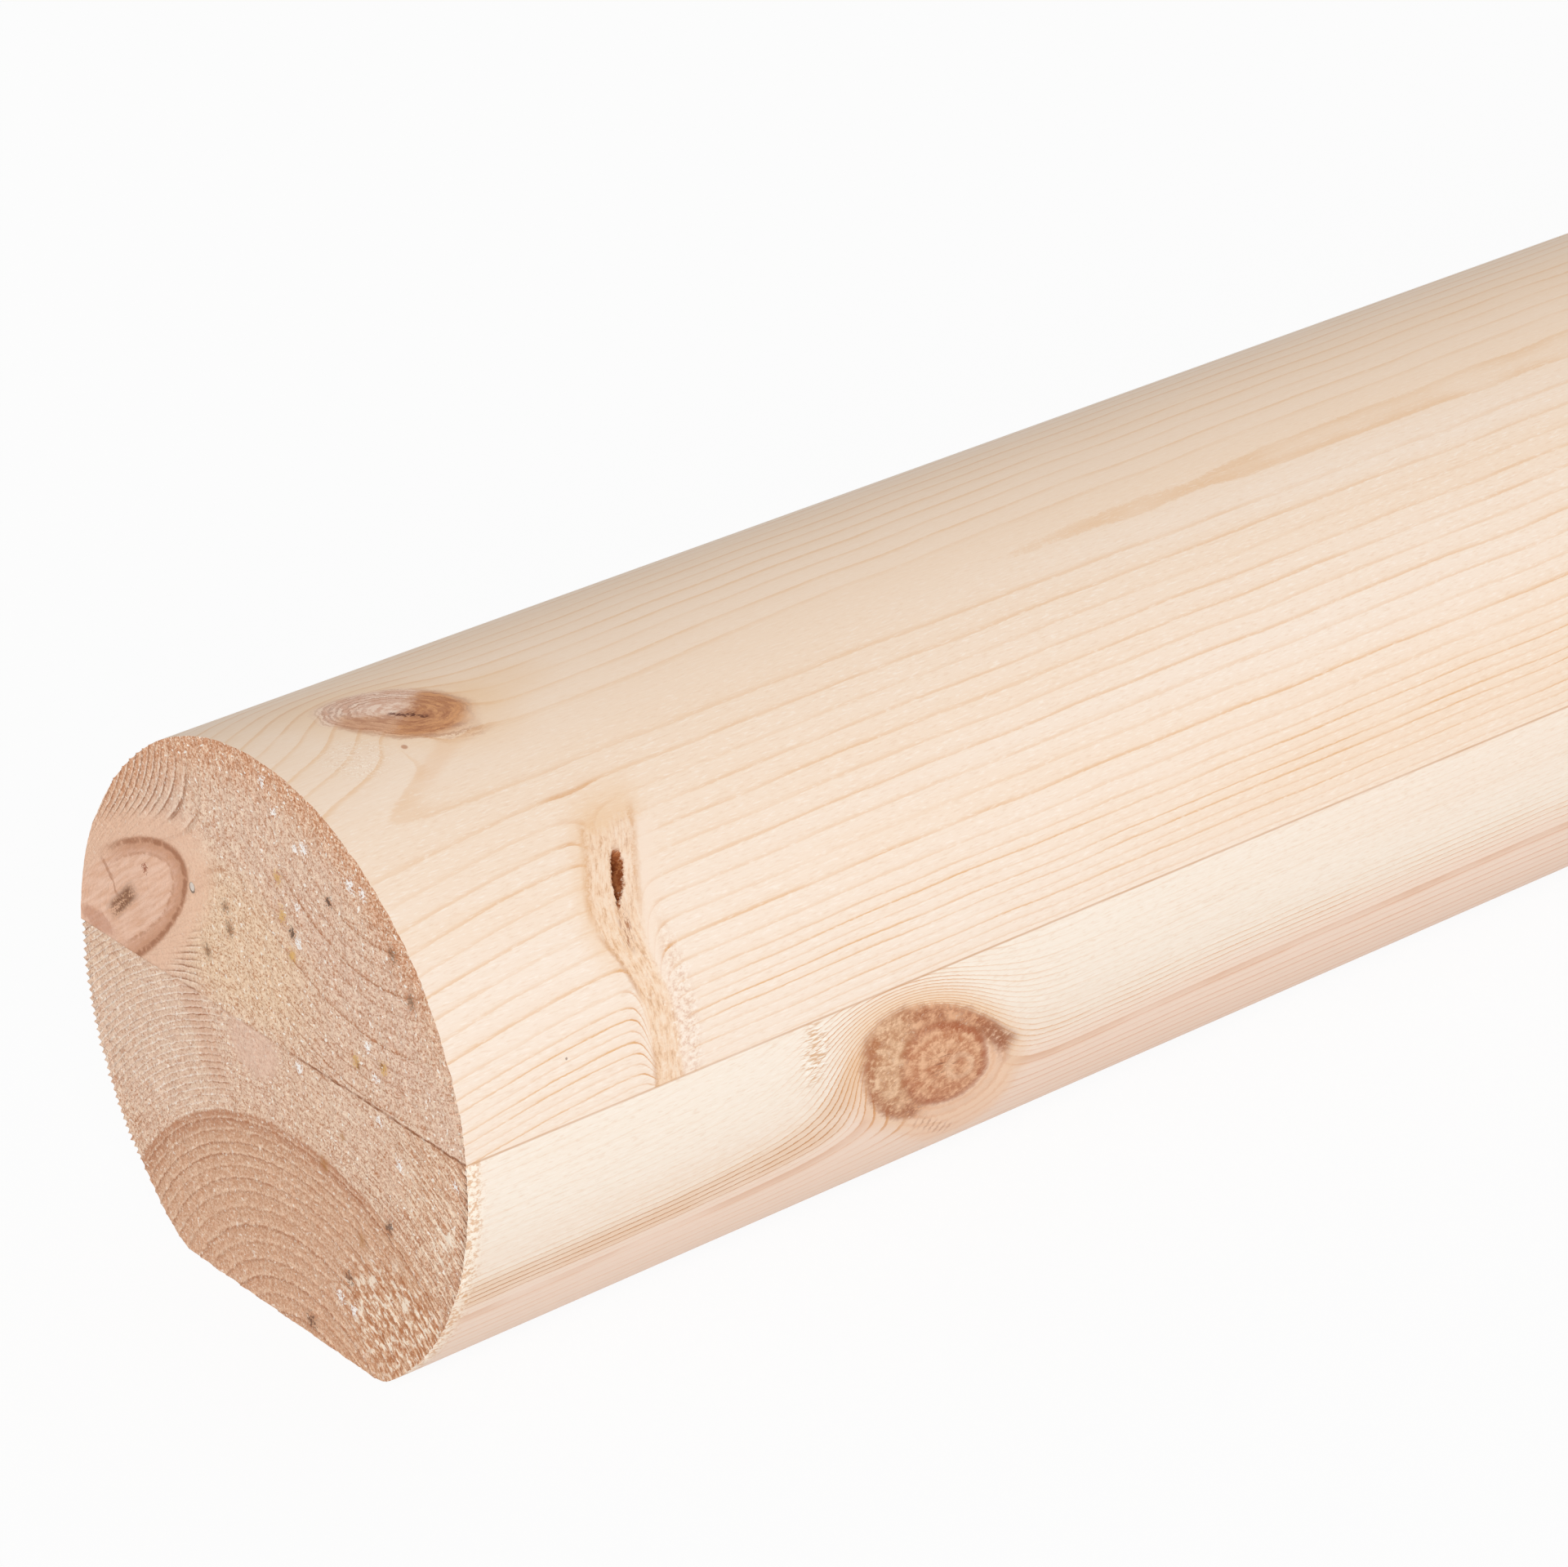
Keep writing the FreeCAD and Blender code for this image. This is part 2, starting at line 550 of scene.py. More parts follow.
def lower_pith(along):
    """How far out to the near side and how high the pith runs. It shifts where the side knot's whorl grew."""
    step = 1 / (1 + NATURAL ** ((60 - along) / 12))
    wave = 0.09 * sine(along / 4.7) + 0.06 * sine(along / 2.3)
    sway = 2.0 * (sine(along / 210) - sine(along / 83) * 0.3) + wave
    return 3.8 + 1.6 * step + sway, -10.9 + 2.6 * step - 0.5 * sway


def lower_count(grown):
    """How many rings grew up to a radius: 1.7 mm wide ones first, then 1.15 and at last 0.66."""
    wide = grown / 1.7
    middle = (1 / 1.15 - 1 / 1.7) * slope(grown - 24, 1.0)
    return wide + middle + (1 / 0.66 - 1 / 1.15) * slope(grown - 31.3, 0.3)


lower_branches = [
    Branch("side", (82.6, -1.1, 4.6), (54.0, 29.4, 19.9), 0.12, pull=0.9, reach=1.5, crowding=2.0),
    Branch("far", (520, 6, -9), (498, -24, 12), 0.11),
    Branch("far", (528, 6, -9), (505, 29, 16), 0.10),
]


def lower_bold(grown):
    """How bold the ring lines are: faint in the sapwood."""
    return 0.25 + 0.75 * fade(grown, 39, 35.5)


lower_board = Board(lower_pith, lower_branches, lower_count, lower_bold)
arc_columns, flat_columns = 148, 134
lower_side = [on_oval(turn) for turn in np.linspace(glue_turn, flat_turn, arc_columns + 1)]
other_side = [(-across, height) for across, height in lower_side[::-1]]
flat_steps = np.linspace(flat_half, -flat_half, flat_columns + 1)[1:-1]
lower_outline = lower_side + [(step, 0.0) for step in flat_steps] + other_side
# The two arrises along the flat are eased: each point moves to the mean of its neighbours, the ends stay.
easing = 6
lower_outline = [
    tuple(np.mean(lower_outline[place - easing:place + easing + 1], axis=0))
    if easing <= place < len(lower_outline) - easing else point
    for place, point in enumerate(lower_outline)]


def lower_chips(near, up):
    """How deep the saw chipped the skin at the near end, in mm."""
    return 0.55 * fade(near, -16, -24) * fade(up, 1.0, 6.0) + 0.18 * fade(near, 16, 22)


heart_radius = 31.5


def dress_lower_side(colour, grain):
    """The pink heartwood below, and the side knot: a ringed eye in a speckled head, and a smooth tail."""
    place, along, mottle, patches = grain.place, grain.along, grain.mottle, grain.patches
    near_heart = fade(grain.grown, heart_radius + 5.0, heart_radius - 1.0)
    colour = (near_heart * 0.6).mix(colour, tone(247, 217, 198))
    beyond = fade(along, 60, 72)
    ringed = fade(grain.line, 0.05, 0.5) * (0.4 + 0.6 * grain.weight)
    colour = (ringed * near_heart * beyond * 0.35).mix(colour, tone(226, 168, 134))
    swung = fade(grain.knots["side"], 4.5, 1.6) * fade(along, 50, 57)
    colour = (ringed * swung * (1 - near_heart) * 0.4).mix(colour, tone(230, 184, 138))
    past_heart = grain.grown - heart_radius
    edge = band(past_heart, -1.6, 0.0, 0.0, 0.3)
    colour = (edge * (0.5 * fade(patches, 0.3, 0.7) + 0.2 * beyond)).mix(colour, tone(220, 164, 122))
    stain = band(past_heart, 1.0, 1.8, 3.6, 5.0) * fade(along, 58, 42)
    colour = (stain * fade(patches, 0.2, 0.6) * 0.4).mix(colour, tone(228, 182, 138))
    stain = stain * fade(grain.line, 0.1, 0.6) * fade(patches, 0.1, 0.5)
    colour = (stain * 0.9).mix(colour, tone(204, 148, 102))

    # The knot is an oval that leans with the branch, so it is measured along two leaning axes. Its rim, the
    # eye in it and its tail are each 1 at their own edge. The rim and the tail keep off the rail's far side.
    knot_along, knot_up = 54.9, 18.7
    slanted = joined(along + 0.095 * (grain.up - 19.9), grain.near, grain.up + 0.39 * (along - knot_along))
    across, above = part(slanted, 0) - knot_along, part(slanted, 2) - knot_up
    loose, uneven = mottle - 0.5, patches - 0.5
    far_side = fade(grain.near, 12, 4)
    outside = 0.3 * loose + 3 * far_side
    rim = 1 - within(slanted, (knot_along, 0, knot_up), (9.2, 0, 7.1)) + outside + 0.15 * uneven
    eye = 1 - within(slanted, (56.0, 0, knot_up), (5.2, 0, 4.6)) + 0.3 * loose + 0.12 * uneven
    tail = 1 - within(slanted, (58.8, 0, 14.2), (8.2, 0, 7.4)) + outside
    turned = place.math("ARCTAN2", above, across - 1.1)
    rays = speckle(joined(5.0 * turned, 2.6 * eye, 0.0), (1.0, 1.0, 1.0), 3.0, 0.65)
    clumps = speckle(place, (0.5, 0.6, 0.6), 2.0, 0.6)
    bands = 0.025 * sine(19 * eye) * fade(eye, 1.6, 1.1)
    blotch = fade(0.30 * rays + 0.28 * clumps + 0.42 * mottle + bands, 0.40, 0.60)
    left = fade(across, -1.5, -5.5)
    colour = (fade(rim, 1.45, 1.0) * (0.25 + 0.45 * patches)).mix(colour, tone(236, 190, 142))
    hugging = fade(rim, 1.55, 1.1) * fade(across, 6.0, 1.0) * fade(grain.line, 0.1, 0.5)
    colour = (hugging * 0.7).mix(colour, tone(216, 152, 94))
    arcs = (fade(sine(22 * eye), 0.1, 1.0) * 0.6).mix(tone(247, 212, 184), tone(236, 188, 150))
    colour = (fade(tail, 1.05, 0.7) * 0.85).mix(colour, arcs)
    pale = left.mix(tone(226, 174, 136), tone(238, 200, 164))
    dark = left.mix(tone(170, 106, 70), tone(186, 126, 84))
    outer = blotch.mix(pale, dark)
    outer = (fade(mottle, 0.56, 0.68) * 0.45).mix(outer, tone(255, 232, 206))
    outer = (fade(across - 0.7 * above, 2.0, 5.5) * 0.85).mix(outer, arcs)
    inner = blotch.mix(tone(234, 186, 148), tone(188, 120, 80))
    inner = (fade(mottle, 0.56, 0.7) * 0.4).mix(inner, tone(252, 220, 188))
    inner = (fade(grain.ticks, 0.44, 0.3) * fade(eye, 0.6, 0.1) * 0.7).mix(inner, tone(128, 76, 48))
    bud = 1 - within(slanted, (58.0, 0, 18.5), (1.7, 0, 1.5)) + 0.5 * loose
    inner = (band(bud, 0.6, 0.85, 1.0, 1.3) * 0.3).mix(inner, tone(250, 218, 186))
    head = fade(eye, 1.06, 0.92).mix(outer, inner)
    ring = band(eye, 0.84, 0.97, 1.02, 1.16) * (0.4 + 0.6 * fade(across, -4.0, 0.5))
    head = (ring * (0.5 + 0.4 * blotch)).mix(head, tone(172, 98, 60))
    colour = fade(rim, 1.04, 0.94).mix(colour, head)
    bark = fade(across, -1.0, -5.0) * (0.55 + 0.45 * fade(above, 3.0, -1.0))
    bark = bark + 0.8 * fade(across, 0.5, 4.5) * fade(above, -0.5, 2.0)
    skin = band(rim, 0.78, 0.96, 1.0, 1.1) * bark
    colour = (skin * (0.25 + 0.55 * blotch)).mix(colour, tone(164, 90, 48))
    tip = stroke(place, (60.6, 29.1, 20.8), (64.6, 28.5, 17.4), 1.5) * fade(mottle, 0.3, 0.55)
    colour = (tip * 0.85).mix(colour, tone(156, 90, 52))
    teeth = stroke(place, (55.0, 26.2, 11.4), (61.6, 23.0, 6.6), 1.2)
    teeth = teeth * fade(sine(6 * along + 9 * mottle), 0.2, 0.9)
    colour = (teeth * 0.5).mix(colour, tone(186, 122, 84))
    fuzz = fade(mottle, 0.4, 0.56).mix(tone(218, 168, 122), tone(255, 243, 226))
    colour = (fade(along + 3.0 * loose, 2.4, 0.6) * fade(grain.near, 8, 14) * 0.75).mix(colour, fuzz)
    rough = fade(within(place, (39.6, 0, 26.2), (2.0, 0, 4.6)), 0.0, 0.5) * (1 - far_side)
    colour = (rough * fade(grain.ticks, 0.50, 0.38) * 0.7).mix(colour, tone(214, 164, 116))
    return (rough * fade(grain.ticks, 0.56, 0.68) * 0.8).mix(colour, tone(255, 250, 240))


def ground_lower_end(colour, grain):
    """A painted sheen of whitish fibre lines on the far side, a dark band where the pinkish heart starts, and
    ripped wood low down on the near side."""
    heart = fade(grain.grown, heart_radius + 0.15, heart_radius - 0.15)
    # Painted sheen: the far side is painted paler, with whitish lines along its rings, as if torn fibres
    # catch the light.
    pale = fade(grain.near, -3, -14) * fade(grain.up, 11, 18)
    colour = (pale * 0.6).mix(colour, tone(230, 200, 176))
    colour = (pale * grain.ridge * (0.3 + 0.7 * grain.fibres)).mix(colour, tone(255, 242, 230))
    colour = (heart * 0.85).mix(colour, tone(214, 168, 136))
    dark_band = fade(grain.grown, heart_radius - 3.5, heart_radius) * heart
    colour = (dark_band * 0.65).mix(colour, tone(180, 120, 88))
    colour = (grain.ridge * heart * (0.1 + 0.5 * grain.fibres)).mix(colour, tone(246, 212, 184))
    lean = grain.near + 12.4 - 0.55 * (29 - grain.up)
    dashes = fade(abs(lean + 1.5 * (grain.coarse - 0.5)), 2.6, 1.2) * fade(grain.up, 19.5, 22)
    colour = (dashes * 0.4).mix(colour, tone(222, 176, 148))
    smooth = fade(within(grain.place, (0, -2.3, 27.4), (12, 4.8, 3.6)), 0.0, 0.4)
    colour = (smooth * 0.8).mix(colour, tone(232, 196, 174))
    ripped = fade(grain.near - 0.5 * grain.up, 2, 14)
    strips = speckle(grain.by_ring, (3.4, 0.25, 0.5), 2.0)
    colour = (ripped * 0.6).mix(colour, fade(strips, 0.4, 0.6).mix(tone(200, 138, 96), tone(246, 212, 178)))
    flaked = fade(grain.near, 4, 12) * (1 - heart) * fade(grain.up, 8, 14)
    colour = (flaked * fade(strips, 0.50, 0.64) * 0.55).mix(colour, tone(252, 232, 210))
    colour = (flaked * fade(strips, 0.46, 0.34) * 0.40).mix(colour, tone(196, 146, 112))
    dark = band(grain.grown, 28, 31, 34, 37) * fade(grain.near, 6, 14)
    clear = 0.35 + 0.35 * heart + 0.8 * dashes - 0.1 * pale - 0.25 * smooth + 0.2 * ripped + 0.6 * dark
    return colour, clear, 1 - 0.6 * smooth - 0.4 * dashes - 0.35 * heart - 0.3 * pale


def mark_lower_end(colour, grain):
    """Cream flakes with brown gaps between, low on the near side, and specks of dirt, stain and fibre."""
    low = fade(within(grain.place, (0, 19.0, 7.0), (25, 13.0, 9.0)), 0.0, 0.6)
    edge = fade(within(grain.place, (0, 26.5, 19.5), (25, 3.6, 3.6)), 0.0, 0.5)
    torn_off = speckle(grain.by_ring, (1.7, 0.6, 0.3), 2.0, 0.6) + 0.25 * (grain.fine - 0.5)
    colour = (low * fade(torn_off, 0.48, 0.40) * 0.75).mix(colour, tone(178, 110, 64))
    colour = ((low + edge) * fade(torn_off, 0.53, 0.60) * 0.85).mix(colour, tone(255, 240, 220))
    dirt = [(17.7, 17.5, 0.9), (11.1, 9.2, 0.8), (4.7, 1.6, 0.9)]
    colour = spots(colour, grain, tone(92, 52, 30), 0.8, dirt)
    stains = [(8.0, 19.8, 0.9), (13.4, 14.2, 0.8), (11.1, 24.0, 0.6)]
    colour = spots(colour, grain, tone(176, 116, 50), 0.7, stains)
    whites = [
        (4.9, 28.4, 0.7), (17.0, 28.2, 0.6), (19.7, 24.9, 0.7), (28.2, 26.5, 0.5), (9.6, 6.4, 0.8),
        (11.6, 5.8, 0.7)]
    return spots(colour, grain, tone(255, 252, 248), 0.9, whites)


lower_planed = planed_pine(
    "planed_slow_pine", lower_board, tone(249, 236, 221), tone(247, 228, 210), tone(230, 184, 138),
    dress_lower_side)
lower_sawn = sawn_pine(
    "sawn_slow_pine", lower_board, tone(229, 194, 168), tone(166, 108, 76), ground_lower_end, mark_lower_end)
lower_lamella = moulded_board(
    "planed_lower_lamella", lower_outline, lower_board, (lower_planed, lower_sawn), lower_chips)
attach(lower_lamella, "root")
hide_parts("lower_lamella")


# The upper lamella is the top board: wider rings round a pith that lies just above its near shoulder,
# and a whorl of three branches near the sawn end. It is glued to the lower board, planed to the crown
# of the oval with it and cut off by the same saw.


def upper_pith(along):
    """How far out to the near side and how high the pith runs, with a kink at the sawn end."""
    kink = NATURAL ** (-along / 14)
    sway = -1.9 * sine(along / 120) + 0.09 * sine(along / 5.1) + 0.06 * sine(along / 2.6)
    return 12.5 + 4.8 * kink + sway, 60.7 - 0.6 * kink - 0.95 * sine(along / 95)


def upper_count(grown):
    """How many rings grew up to a radius: 2 mm wide ones first, then 0.98."""
    return grown / 2.0 + (1 / 0.98 - 1 / 2.0) * slope(grown - 27, 1.0)


upper_branches = [
    Branch("end", (16.6, 13.2, 62.2), (0.0, -20.6, 35.8), 0.109, pull=0.75, reach=0.75, crowding=-2.0),
    Branch("spike", (23.4, 16, 60), (22.4, 30.2, 32.6), -0.035, core=2.9, pull=0.8, reach=3.2, crowding=0.8),
    Branch("crown", (27, 13, 46), (16.9, 1.6, 58), 0.20, pull=0.55, reach=1.0, crowding=1.6),
    Branch("far", (470, 12, 58), (452, -14, 52), 0.2),
    Branch("far", (476, 12, 58), (464, 29, 36), 0.08, core=1.0),
]


def upper_bold(grown):
    """How bold the ring lines are: none round the pith."""
    return fade(grown, 1.5, 4.2)


upper_board = Board(upper_pith, upper_branches, upper_count, upper_bold)
crown_columns = 396
upper_outline = [on_oval(turn) for turn in np.linspace(glue_turn, pi - glue_turn, crown_columns + 1)]


def upper_chips(near, up):
    """How deep the saw chipped the skin at the near end, in mm."""
    return 0.15 * fade(near, -14, -20) * fade(up, 40, 44)


# The shake opens in the head of the spike knot, along the grain, from a thin foot up to a blunt head. It is
# measured in mm along the rail and round it.
shake_foot = (22.0, 19.0, 0.0)
shake_way = Vector((2.1, 4.5, 0.0)).normalized()
shake_depth = 1.6
shake_loops = np.arange(20.8, 25.61, 0.2)


def in_shake(along, near, up, sway=0.0):
    """How far up the shake a place is, in mm, and how far out from its middle, where 1 is its edge."""
    out, gap = from_line(joined(along, round_rail(near, up) + sway, 0.0 * along), shake_foot, shake_way)
    return out, gap / ((0.10 + 0.31 * fade(out, 0.0, 2.2)) * (0.55 + 0.45 * fade(out, 5.2, 4.0)))


def hollow_shake(along, near, up):
    """How deep the skin is sunk by the shake, in mm."""
    out, width = in_shake(along, near, up)
    return shake_depth * fade(width, 1.25, 0.5) * band(out, -0.2, 0.8, 4.3, 5.0)


def dress_upper_side(colour, grain):
    """The crown knot, brown on its right and ringed on its left, the spike knot with its open shake, and
    painted shade that warms the top of the crown.
    """
    place, along, near, up = grain.place, grain.along, grain.near, grain.up
    mottle, ticks, patches = grain.mottle, grain.ticks, grain.patches
    loose, uneven = mottle - 0.5, patches - 0.5
    blotch = fade(mottle, 0.36, 0.64)
    near_side = fade(near, 10, 14)
    on_crown = fade(up, 50, 52)
    # Painted shade: the top of the crown is tinted warmer and darker, as it lies in less light.
    colour = (fade(up, 53, 58) * 0.6).mix(colour, tone(244, 216, 188))

    # The crown knot is a long oval that lies slantwise over the crown, measured along and across it
    from_middle, to_near = along - 15.5, near - 1.2
    length = 0.77 * from_middle + 0.636 * to_near
    breadth = 0.77 * to_near - 0.636 * from_middle
    oval = ((length / 7.7) * (length / 7.7) + (breadth / 4.5) * (breadth / 4.5)) ** 0.5
    wavy = oval + 0.3 * uneven + 0.16 * loose
    frayed = wavy + 0.2 * fade(length, 4.0, 9.0) * (patches - 0.2)
    body = fade(frayed, 1.1, 0.84 - 0.2 * fade(length, 2.0, 7.0)) * on_crown
    right = fade(length + 0.4 * breadth + 5.0 * uneven + 2.5 * loose, -0.8, 1.8)
    lower_rim = fade(breadth + 2.0 * loose, 0.2, 1.8) * fade(length, -6.5, -4.5)
    browner = greater(right, 0.75 * lower_rim)
    halo = fade(within(place, (25.5, 2.5, 58), (8.0, 4.5, 0)), 0.0, 0.8)
    colour = (fade(oval, 1.8, 1.0) * on_crown * 0.35 + halo * 0.35).mix(colour, tone(238, 200, 158))
    round_knot = joined(13 * wavy, 0.25 * length / (oval + 0.1), 0.4 * breadth / (oval + 0.1))
    swirl = speckle(round_knot, (1.0, 1.0, 1.0), 3.0, 0.7)
    brown = fade(swirl, 0.35, 0.65).mix(tone(168, 100, 54), tone(214, 150, 96))
    inner = browner.mix(fade(swirl, 0.4, 0.6).mix(tone(218, 172, 146), tone(242, 214, 194)), brown)
    arcs = fade(sine(wavy * 80) + 1.5 * (swirl - 0.5), 0.1, 0.9)
    inner = (arcs * (0.55 - 0.35 * browner) * fade(wavy, 0.3, 0.6)).mix(inner, tone(166, 104, 72))
    colour = (body * 0.92).mix(colour, inner)
    under = band(wavy, 0.8, 0.95, 1.0, 1.18) * fade(breadth, 0.6, 2.6) * fade(length, -6.0, -3.0)
    colour = (under * fade(swirl, 0.58, 0.44) * 0.4).mix(colour, tone(180, 114, 68))
    wander = joined(along + 1.4 * loose, near + 1.2 * (ticks - 0.5), up)
    star = stroke(wander, (14.4, 1.2, 58), (17.0, 3.5, 57.8), 0.3)
    star = star + 0.7 * stroke(wander, (15.4, 2.6, 58), (16.4, 2.2, 57.8), 0.35)
    heart = fade(within(place, (15.8, 2.4, 58), (2.6, 2.0, 0)), 0.0, 0.8)
    colour = (heart * 0.35).mix(colour, tone(168, 108, 76))
    colour = (star * fade(mottle, 0.34, 0.46) * 0.9).mix(colour, tone(100, 46, 16))
    swept = 1 - within(place, (5.6, 8.2, 57), (1.0, 1.0, 0))
    curl = sine(15 * swept + 26 * mottle + 12 * patches) * fade(ticks, 0.4, 0.58)
    curled = fade(within(place, (7.6, 5.4, 57), (4.6, 3.8, 0)), 0.0, 0.6) * fade(oval, 1.0, 1.3)
    colour = (curled * fade(curl, -0.15, -0.8) * 0.3).mix(colour, tone(216, 168, 128))
    colour = (curled * fade(curl, 0.15, 0.8) * 0.5).mix(colour, tone(255, 244, 228))
    dot = fade(within(place, (12.3, 6.2, 57), (0.4, 0.4, 0)), 0.0, 0.5)
    colour = (dot * 0.7).mix(colour, tone(184, 120, 80))
    colour = (stroke(place, (16.2, 7.6, 57), (10.6, 10.7, 56), 1.4) * 0.25).mix(colour, tone(232, 180, 130))

    # The spike knot runs down the side as a strip, bent where the shake opens in its wider head
    bend = (up - 43.6) / 4.5
    middle = 22.9 - 1.5 * NATURAL ** (-(bend * bend)) + 0.5 * slope(up - 47, 1.0)
    half = 1.5 + 1.1 * fade(up, 40, 45.5)
    aside = along - middle
    ragged = abs(aside) / half + 0.5 * loose + 0.3 * uneven
    begun = fade(up + 3.0 * loose, 51.2, 49.6) * near_side
    fibres = speckle(joined(aside, near, up), (2.8, 0.7, 0.7), 4.0, 0.7)
    stain = fade(abs(aside), 5.5, 1.5) * band(up, 38, 46, 50.5, 54) * near_side
    colour = (stain * (0.4 + 0.6 * patches)).mix(colour, tone(236, 194, 148))
    beside = fade(ragged, 2.3, 1.4) * fade(aside, -0.2, 0.8) * begun
    colour = (beside * 0.75).mix(colour, tone(248, 228, 210))
    tan = fade(up, 48, 41).mix(tone(241, 207, 176), tone(238, 200, 163))
    inner = (fade(fibres, 0.42, 0.62) * 0.5).mix(tan, tone(252, 236, 218))
    inner = (fade(fibres, 0.47, 0.32) * 0.6).mix(inner, tone(190, 130, 80))
    inner = (fade(mottle, 0.46, 0.32) * 0.35).mix(inner, tone(204, 150, 108))
    inner = (fade(mottle, 0.54, 0.68) * 0.4).mix(inner, tone(255, 242, 226))
    colour = (fade(ragged, 1.3, 0.75) * begun * 0.85).mix(colour, inner)
    arch = band(ragged, 0.8, 1.0, 1.05, 1.3) * fade(up, 43.5, 46) * near_side
    arch = arch * fade(up + 2.0 * loose, 51.8, 50.8)
    colour = (arch * (0.1 + 0.5 * blotch)).mix(colour, tone(218, 164, 112))
    left = band(ragged, 0.8, 0.98, 1.02, 1.25) * fade(aside, 0.0, -0.8)
    left = left * (band(up, 37.5, 39.5, 42.5, 44.5) + fade(up, 34, 30.5)) * near_side
    colour = (left * (0.3 + 0.4 * blotch)).mix(colour, tone(200, 142, 92))
    rough = fade(within(place, (25.5, 0, 35.0), (2.1, 0, 11.0)) + 0.9 * loose, 0.0, 0.6) * near_side
    colour = (rough * fade(mottle, 0.52, 0.38) * 0.5).mix(colour, tone(212, 162, 130))
    colour = (rough * fade(mottle, 0.53, 0.64) * 0.5).mix(colour, tone(254, 244, 234))
    below = stroke(place, (22.2, 24.0, 45.5), (21.7, 26.2, 41.8), 0.9) * fade(fibres, 0.48, 0.6)
    colour = (below * 0.85).mix(colour, tone(172, 106, 58))
    out, open_width = in_shake(along + 0.9 * loose, near, up, 0.6 * (ticks - 0.5))
    singed = fade(open_width, 2.1, 1.3) * band(out, -1.2, 0.2, 4.8, 5.8)
    colour = (singed * 0.5).mix(colour, tone(170, 100, 52))
    shake = fade(open_width + 0.9 * (fibres - 0.5), 1.55, 1.2) * band(out, -0.6, 0.1, 4.8, 5.4)
    colour = shake.mix(colour, fade(fibres, 0.42, 0.6).mix(tone(142, 76, 38), tone(192, 124, 76)))
    dot = fade(within(place, (12.2, 0, 35.3), (0.16, 0, 0.16)), 0.0, 0.5) * near_side
    return (dot * 0.7).mix(colour, tone(130, 96, 76))


def ground_upper_end(colour, grain):
    """Yellowish in the middle, a torn orange edge above, and smooth pink wood round the knot cut through."""
    knot = grain.knots["end"]
    middle = fade(within(grain.place, (0, -4, 37), (0, 15, 11)), 0.0, 0.6)
    colour = (middle * 0.7).mix(colour, tone(242, 210, 174))
    rim = (grain.near * MM / side_radius) ** 2 + ((grain.up - oval_height / MM) * MM / upright_radius) ** 2
    rim = fade(rim + 0.25 * (grain.coarse - 0.5), 0.66, 0.98) * fade(grain.up, 34, 48)
    colour = (rim * 0.75).mix(colour, tone(214, 148, 104))
    smooth = fade(knot, 2.0, 1.3)
    colour = (smooth * 0.85).mix(colour, tone(238, 196, 168))
    steep = band(knot, 1.4, 1.7, 2.6, 3.8) * fade(grain.near, -9, -12)
    colour = (steep * grain.ridge * 0.6).mix(colour, tone(255, 232, 212))
    colour = (steep * fade(grain.line, 0.02, 0.4) * 0.75).mix(colour, tone(152, 96, 64))
    clear = 0.15 + 0.75 * band(grain.near, -1, 5, 20, 27) * fade(grain.up, 52, 46)
    return colour, clear, 1 + 0.2 * rim - 0.8 * smooth - 0.4 * steep * (1 - smooth)


